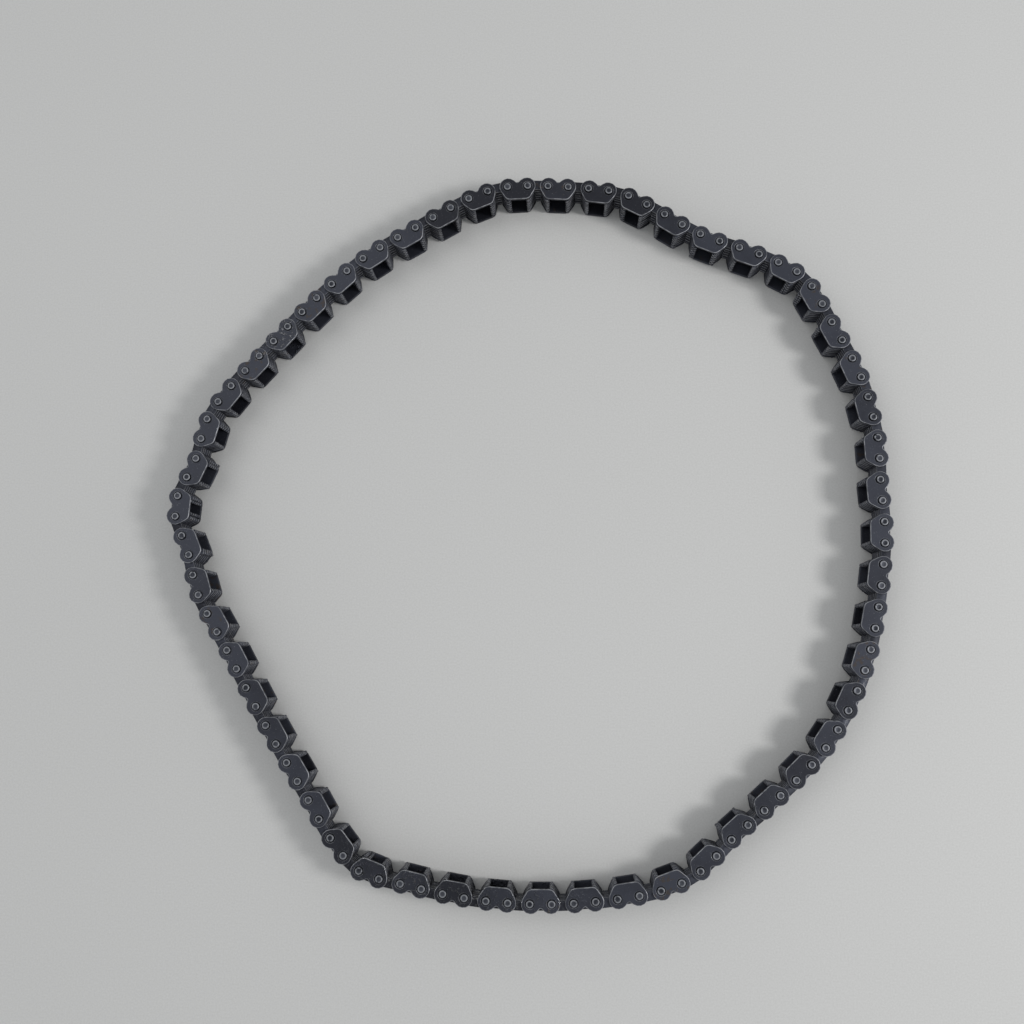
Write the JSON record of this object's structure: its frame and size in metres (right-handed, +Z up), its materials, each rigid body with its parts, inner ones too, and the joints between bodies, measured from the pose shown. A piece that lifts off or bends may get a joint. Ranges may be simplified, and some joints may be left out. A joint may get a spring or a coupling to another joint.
{
  "type": "drive chain",
  "caption": "Endless silent drive chain: toothed plates laced on riveted pins between guide plates, lying on its side in a loose loop.",
  "frame": {"origin": "middle of the loop's box, on the surface that it lies on", "axes": "+Z up along the pins; X and Y in the plane of the loop, +Y towards the pivot that is left open"},
  "size_m": [0.3294, 0.3342, 0.0183],
  "materials": {
    "plate_steel": "dark hardened steel with a film of oil",
    "pin_steel": "ground steel, lighter than the plates"
  },
  "bodies": {
    "base": {"base_guide_row": "plate_steel", "base_inner_row": "plate_steel", "base_guide_plate_lower": "plate_steel", "base_guide_plate_upper": "plate_steel", "base_pin_first": "pin_steel", "base_pin_second": "pin_steel"},
    "pair_01": {"link_pair_01": "plate_steel"},
    "pair_02": {"link_pair_02": "plate_steel"},
    "pair_03": {"link_pair_03": "plate_steel"},
    "pair_04": {"link_pair_04": "plate_steel"},
    "pair_05": {"link_pair_05": "plate_steel"},
    "pair_06": {"link_pair_06": "plate_steel"},
    "pair_07": {"link_pair_07": "plate_steel"},
    "pair_08": {"link_pair_08": "plate_steel"},
    "pair_09": {"link_pair_09": "plate_steel"},
    "pair_10": {"link_pair_10": "plate_steel"},
    "pair_11": {"link_pair_11": "plate_steel"},
    "pair_12": {"link_pair_12": "plate_steel"},
    "pair_13": {"link_pair_13": "plate_steel"},
    "pair_14": {"link_pair_14": "plate_steel"},
    "pair_15": {"link_pair_15": "plate_steel"},
    "pair_16": {"link_pair_16": "plate_steel"},
    "pair_17": {"link_pair_17": "plate_steel"},
    "pair_18": {"link_pair_18": "plate_steel"},
    "pair_19": {"link_pair_19": "plate_steel"},
    "pair_20": {"link_pair_20": "plate_steel"},
    "pair_21": {"link_pair_21": "plate_steel"},
    "pair_22": {"link_pair_22": "plate_steel"},
    "pair_23": {"link_pair_23": "plate_steel"},
    "pair_24": {"link_pair_24": "plate_steel"},
    "pair_25": {"link_pair_25": "plate_steel"},
    "pair_26": {"link_pair_26": "plate_steel"},
    "pair_28": {"link_pair_28": "plate_steel"},
    "pair_29": {"link_pair_29": "plate_steel"},
    "pair_30": {"link_pair_30": "plate_steel"},
    "pair_31": {"link_pair_31": "plate_steel"},
    "pair_32": {"link_pair_32": "plate_steel"},
    "pair_33": {"link_pair_33": "plate_steel"},
    "pair_34": {"link_pair_34": "plate_steel"},
    "pair_35": {"link_pair_35": "plate_steel"},
    "pair_36": {"link_pair_36": "plate_steel"},
    "pair_37": {"link_pair_37": "plate_steel"},
    "pair_38": {"link_pair_38": "plate_steel"},
    "pair_39": {"link_pair_39": "plate_steel"},
    "pair_40": {"link_pair_40": "plate_steel"},
    "pair_41": {"link_pair_41": "plate_steel"},
    "pair_42": {"link_pair_42": "plate_steel"},
    "pair_43": {"link_pair_43": "plate_steel"},
    "pair_44": {"link_pair_44": "plate_steel"},
    "pair_45": {"link_pair_45": "plate_steel"},
    "pair_46": {"link_pair_46": "plate_steel"},
    "pair_47": {"link_pair_47": "plate_steel"},
    "pair_48": {"link_pair_48": "plate_steel"},
    "pair_49": {"link_pair_49": "plate_steel"},
    "pair_50": {"link_pair_50": "plate_steel"},
    "pair_51": {"link_pair_51": "plate_steel"},
    "pair_52": {"link_pair_52": "plate_steel"},
    "pair_53": {"link_pair_53": "plate_steel"}
  },
  "joints": [
    {"name": "bend_28", "type": "hinge", "parent": "base", "child": "pair_28", "pos_m": [0.02215, -0.16211, 0.00915], "axis": [0, 0, 1], "range_deg": [-12.87, 12.87]},
    {"name": "bend_29", "type": "hinge", "parent": "pair_28", "child": "pair_29", "pos_m": [0.04109, -0.16001, 0.00915], "axis": [0, 0, 1], "range_deg": [-3.94, 3.94]},
    {"name": "bend_30", "type": "hinge", "parent": "pair_29", "child": "pair_30", "pos_m": [0.05975, -0.15626, 0.00915], "axis": [0, 0, 1], "range_deg": [-6.65, 6.65]},
    {"name": "bend_31", "type": "hinge", "parent": "pair_30", "child": "pair_31", "pos_m": [0.07675, -0.14785, 0.00915], "axis": [0, 0, 1], "range_deg": [-9.71, 9.71]},
    {"name": "bend_32", "type": "hinge", "parent": "pair_31", "child": "pair_32", "pos_m": [0.09024, -0.13441, 0.00915], "axis": [0, 0, 1], "range_deg": [-8.07, 8.07]},
    {"name": "bend_33", "type": "hinge", "parent": "pair_32", "child": "pair_33", "pos_m": [0.10458, -0.12187, 0.00915], "axis": [0, 0, 1], "range_deg": [-7.71, 7.71]},
    {"name": "bend_34", "type": "hinge", "parent": "pair_33", "child": "pair_34", "pos_m": [0.11861, -0.10898, 0.00915], "axis": [0, 0, 1], "range_deg": [-7.19, 7.19]},
    {"name": "bend_35", "type": "hinge", "parent": "pair_34", "child": "pair_35", "pos_m": [0.13159, -0.09506, 0.00915], "axis": [0, 0, 1], "range_deg": [-9.13, 9.13]},
    {"name": "bend_36", "type": "hinge", "parent": "pair_35", "child": "pair_36", "pos_m": [0.14175, -0.07897, 0.00915], "axis": [0, 0, 1], "range_deg": [-8.78, 8.78]},
    {"name": "bend_37", "type": "hinge", "parent": "pair_36", "child": "pair_37", "pos_m": [0.14948, -0.06157, 0.00915], "axis": [0, 0, 1], "range_deg": [-8.89, 8.89]},
    {"name": "bend_38", "type": "hinge", "parent": "pair_37", "child": "pair_38", "pos_m": [0.15455, -0.04321, 0.00915], "axis": [0, 0, 1], "range_deg": [-7.67, 7.67]},
    {"name": "bend_39", "type": "hinge", "parent": "pair_38", "child": "pair_39", "pos_m": [0.15792, -0.02447, 0.00915], "axis": [0, 0, 1], "range_deg": [-8.53, 8.53]},
    {"name": "bend_40", "type": "hinge", "parent": "pair_39", "child": "pair_40", "pos_m": [0.16009, -0.00555, 0.00915], "axis": [0, 0, 1], "range_deg": [-10.91, 10.91]},
    {"name": "bend_41", "type": "hinge", "parent": "pair_40", "child": "pair_41", "pos_m": [0.15973, 0.01349, 0.00915], "axis": [0, 0, 1], "range_deg": [-8.84, 8.84]},
    {"name": "bend_42", "type": "hinge", "parent": "pair_41", "child": "pair_42", "pos_m": [0.15917, 0.03252, 0.00915], "axis": [0, 0, 1], "range_deg": [-9.15, 9.15]},
    {"name": "bend_43", "type": "hinge", "parent": "pair_42", "child": "pair_43", "pos_m": [0.15703, 0.05141, 0.00915], "axis": [0, 0, 1], "range_deg": [-9.22, 9.22]},
    {"name": "bend_44", "type": "hinge", "parent": "pair_43", "child": "pair_44", "pos_m": [0.15217, 0.06982, 0.00915], "axis": [0, 0, 1], "range_deg": [-8.63, 8.63]},
    {"name": "bend_45", "type": "hinge", "parent": "pair_44", "child": "pair_45", "pos_m": [0.14421, 0.08712, 0.00915], "axis": [0, 0, 1], "range_deg": [-9.42, 9.42]},
    {"name": "bend_46", "type": "hinge", "parent": "pair_45", "child": "pair_46", "pos_m": [0.13573, 0.10417, 0.00915], "axis": [0, 0, 1], "range_deg": [-8.42, 8.42]},
    {"name": "bend_47", "type": "hinge", "parent": "pair_46", "child": "pair_47", "pos_m": [0.12476, 0.1195, 0.00915], "axis": [0, 0, 1], "range_deg": [-14.53, 14.53]},
    {"name": "bend_48", "type": "hinge", "parent": "pair_47", "child": "pair_48", "pos_m": [0.10776, 0.12806, 0.00915], "axis": [0, 0, 1], "range_deg": [-7.51, 7.51]},
    {"name": "bend_49", "type": "hinge", "parent": "pair_48", "child": "pair_49", "pos_m": [0.08984, 0.13452, 0.00915], "axis": [0, 0, 1], "range_deg": [-6.89, 6.89]},
    {"name": "bend_50", "type": "hinge", "parent": "pair_49", "child": "pair_50", "pos_m": [0.0727, 0.14277, 0.00915], "axis": [0, 0, 1], "range_deg": [-6.58, 6.58]},
    {"name": "bend_51", "type": "hinge", "parent": "pair_50", "child": "pair_51", "pos_m": [0.05644, 0.15269, 0.00915], "axis": [0, 0, 1], "range_deg": [-2.57, 2.57]},
    {"name": "bend_52", "type": "hinge", "parent": "pair_51", "child": "pair_52", "pos_m": [0.03885, 0.15971, 0.00915], "axis": [0, 0, 1], "range_deg": [-4.43, 4.43]},
    {"name": "bend_53", "type": "hinge", "parent": "pair_52", "child": "pair_53", "pos_m": [0.01992, 0.1618, 0.00915], "axis": [0, 0, 1], "range_deg": [-5.28, 5.28]},
    {"name": "bend_26", "type": "hinge", "parent": "base", "child": "pair_26", "pos_m": [0.00312, -0.1627, 0.00915], "axis": [0, 0, 1], "range_deg": [-2.56, 2.56]},
    {"name": "bend_25", "type": "hinge", "parent": "pair_26", "child": "pair_25", "pos_m": [-0.0159, -0.1617, 0.00915], "axis": [0, 0, 1], "range_deg": [-2.71, 2.71]},
    {"name": "bend_24", "type": "hinge", "parent": "pair_25", "child": "pair_24", "pos_m": [-0.03476, -0.15902, 0.00915], "axis": [0, 0, 1], "range_deg": [-2.9, 2.9]},
    {"name": "bend_23", "type": "hinge", "parent": "pair_24", "child": "pair_23", "pos_m": [-0.05338, -0.15503, 0.00915], "axis": [0, 0, 1], "range_deg": [-3.04, 3.04]},
    {"name": "bend_22", "type": "hinge", "parent": "pair_23", "child": "pair_22", "pos_m": [-0.07166, -0.1499, 0.00915], "axis": [0, 0, 1], "range_deg": [-4.14, 4.14]},
    {"name": "bend_21", "type": "hinge", "parent": "pair_22", "child": "pair_21", "pos_m": [-0.08467, -0.13608, 0.00915], "axis": [0, 0, 1], "range_deg": [-11.78, 11.78]},
    {"name": "bend_20", "type": "hinge", "parent": "pair_21", "child": "pair_20", "pos_m": [-0.09484, -0.11997, 0.00915], "axis": [0, 0, 1], "range_deg": [-11.31, 11.31]},
    {"name": "bend_19", "type": "hinge", "parent": "pair_20", "child": "pair_19", "pos_m": [-0.10503, -0.10388, 0.00915], "axis": [0, 0, 1], "range_deg": [-11.39, 11.39]},
    {"name": "bend_18", "type": "hinge", "parent": "pair_19", "child": "pair_18", "pos_m": [-0.11502, -0.08765, 0.00915], "axis": [0, 0, 1], "range_deg": [-11.36, 11.36]},
    {"name": "bend_17", "type": "hinge", "parent": "pair_18", "child": "pair_17", "pos_m": [-0.12449, -0.07113, 0.00915], "axis": [0, 0, 1], "range_deg": [-10.6, 10.6]},
    {"name": "bend_16", "type": "hinge", "parent": "pair_17", "child": "pair_16", "pos_m": [-0.13381, -0.05451, 0.00915], "axis": [0, 0, 1], "range_deg": [-5.08, 5.08]},
    {"name": "bend_15", "type": "hinge", "parent": "pair_16", "child": "pair_15", "pos_m": [-0.14355, -0.03814, 0.00915], "axis": [0, 0, 1], "range_deg": [-4.43, 4.43]},
    {"name": "bend_14", "type": "hinge", "parent": "pair_15", "child": "pair_14", "pos_m": [-0.15086, -0.02062, 0.00915], "axis": [0, 0, 1], "range_deg": [-10.38, 10.38]},
    {"name": "bend_13", "type": "hinge", "parent": "pair_14", "child": "pair_13", "pos_m": [-0.15681, -0.00258, 0.00915], "axis": [0, 0, 1], "range_deg": [-13.38, 13.38]},
    {"name": "bend_12", "type": "hinge", "parent": "pair_13", "child": "pair_12", "pos_m": [-0.15954, 0.0158, 0.00915], "axis": [0, 0, 1], "range_deg": [-11.48, 11.48]},
    {"name": "bend_11", "type": "hinge", "parent": "pair_12", "child": "pair_11", "pos_m": [-0.15175, 0.03318, 0.00915], "axis": [0, 0, 1], "range_deg": [-4.61, 4.61]},
    {"name": "bend_10", "type": "hinge", "parent": "pair_11", "child": "pair_10", "pos_m": [-0.14723, 0.05169, 0.00915], "axis": [0, 0, 1], "range_deg": [-3.49, 3.49]},
    {"name": "bend_09", "type": "hinge", "parent": "pair_10", "child": "pair_09", "pos_m": [-0.13653, 0.06739, 0.00915], "axis": [0, 0, 1], "range_deg": [-9.67, 9.67]},
    {"name": "bend_08", "type": "hinge", "parent": "pair_09", "child": "pair_08", "pos_m": [-0.12382, 0.08158, 0.00915], "axis": [0, 0, 1], "range_deg": [-8.17, 8.17]},
    {"name": "bend_07", "type": "hinge", "parent": "pair_08", "child": "pair_07", "pos_m": [-0.11086, 0.09554, 0.00915], "axis": [0, 0, 1], "range_deg": [-7.3, 7.3]},
    {"name": "bend_06", "type": "hinge", "parent": "pair_07", "child": "pair_06", "pos_m": [-0.09762, 0.10924, 0.00915], "axis": [0, 0, 1], "range_deg": [-8.56, 8.56]},
    {"name": "bend_05", "type": "hinge", "parent": "pair_06", "child": "pair_05", "pos_m": [-0.08365, 0.12219, 0.00915], "axis": [0, 0, 1], "range_deg": [-9.25, 9.25]},
    {"name": "bend_04", "type": "hinge", "parent": "pair_05", "child": "pair_04", "pos_m": [-0.06828, 0.1334, 0.00915], "axis": [0, 0, 1], "range_deg": [-5.46, 5.46]},
    {"name": "bend_03", "type": "hinge", "parent": "pair_04", "child": "pair_03", "pos_m": [-0.05177, 0.14291, 0.00915], "axis": [0, 0, 1], "range_deg": [-5.95, 5.95]},
    {"name": "bend_02", "type": "hinge", "parent": "pair_03", "child": "pair_02", "pos_m": [-0.03525, 0.15239, 0.00915], "axis": [0, 0, 1], "range_deg": [-7.57, 7.57]},
    {"name": "bend_01", "type": "hinge", "parent": "pair_02", "child": "pair_01", "pos_m": [-0.01793, 0.16025, 0.00915], "axis": [0, 0, 1], "range_deg": [-13.72, 13.72]}
  ],
  "couplings": [
    {"joint": "bend_29", "follows": "bend_28", "ratio": -0.30588},
    {"joint": "bend_30", "follows": "bend_28", "ratio": -0.51697},
    {"joint": "bend_31", "follows": "bend_28", "ratio": -0.75462},
    {"joint": "bend_32", "follows": "bend_28", "ratio": 0.6267},
    {"joint": "bend_33", "follows": "bend_28", "ratio": -0.59936},
    {"joint": "bend_34", "follows": "bend_28", "ratio": 0.55851},
    {"joint": "bend_35", "follows": "bend_28", "ratio": -0.7096},
    {"joint": "bend_36", "follows": "bend_28", "ratio": -0.68212},
    {"joint": "bend_37", "follows": "bend_28", "ratio": -0.69059},
    {"joint": "bend_38", "follows": "bend_28", "ratio": 0.59633},
    {"joint": "bend_39", "follows": "bend_28", "ratio": 0.66261},
    {"joint": "bend_40", "follows": "bend_28", "ratio": -0.8479},
    {"joint": "bend_41", "follows": "bend_28", "ratio": -0.68719},
    {"joint": "bend_42", "follows": "bend_28", "ratio": 0.71094},
    {"joint": "bend_43", "follows": "bend_28", "ratio": 0.71628},
    {"joint": "bend_44", "follows": "bend_28", "ratio": 0.67024},
    {"joint": "bend_45", "follows": "bend_28", "ratio": 0.7321},
    {"joint": "bend_46", "follows": "bend_28", "ratio": -0.65441},
    {"joint": "bend_47", "follows": "bend_28", "ratio": 1.129},
    {"joint": "bend_48", "follows": "bend_28", "ratio": -0.58315},
    {"joint": "bend_49", "follows": "bend_28", "ratio": -0.53527},
    {"joint": "bend_50", "follows": "bend_28", "ratio": -0.51111},
    {"joint": "bend_51", "follows": "bend_28", "ratio": -0.19969},
    {"joint": "bend_52", "follows": "bend_28", "ratio": 0.34391},
    {"joint": "bend_53", "follows": "bend_28", "ratio": 0.41062},
    {"joint": "bend_26", "follows": "bend_28", "ratio": -0.19855},
    {"joint": "bend_25", "follows": "bend_28", "ratio": -0.2104},
    {"joint": "bend_24", "follows": "bend_28", "ratio": -0.22507},
    {"joint": "bend_23", "follows": "bend_28", "ratio": -0.23599},
    {"joint": "bend_22", "follows": "bend_28", "ratio": -0.3216},
    {"joint": "bend_21", "follows": "bend_28", "ratio": 0.91493},
    {"joint": "bend_20", "follows": "bend_28", "ratio": -0.87885},
    {"joint": "bend_19", "follows": "bend_28", "ratio": 0.8849},
    {"joint": "bend_18", "follows": "bend_28", "ratio": -0.88286},
    {"joint": "bend_17", "follows": "bend_28", "ratio": -0.82358},
    {"joint": "bend_16", "follows": "bend_28", "ratio": -0.39474},
    {"joint": "bend_15", "follows": "bend_28", "ratio": 0.34391},
    {"joint": "bend_14", "follows": "bend_28", "ratio": 0.80658},
    {"joint": "bend_13", "follows": "bend_28", "ratio": 1.0396},
    {"joint": "bend_12", "follows": "bend_28", "ratio": 0.89223},
    {"joint": "bend_11", "follows": "bend_28", "ratio": -0.35837},
    {"joint": "bend_10", "follows": "bend_28", "ratio": 0.27109},
    {"joint": "bend_09", "follows": "bend_28", "ratio": -0.75111},
    {"joint": "bend_08", "follows": "bend_28", "ratio": -0.6345},
    {"joint": "bend_07", "follows": "bend_28", "ratio": 0.56702},
    {"joint": "bend_06", "follows": "bend_28", "ratio": -0.66528},
    {"joint": "bend_05", "follows": "bend_28", "ratio": -0.71869},
    {"joint": "bend_04", "follows": "bend_28", "ratio": 0.42436},
    {"joint": "bend_03", "follows": "bend_28", "ratio": 0.46203},
    {"joint": "bend_02", "follows": "bend_28", "ratio": -0.58784},
    {"joint": "bend_01", "follows": "bend_28", "ratio": -1.066}
  ]
}
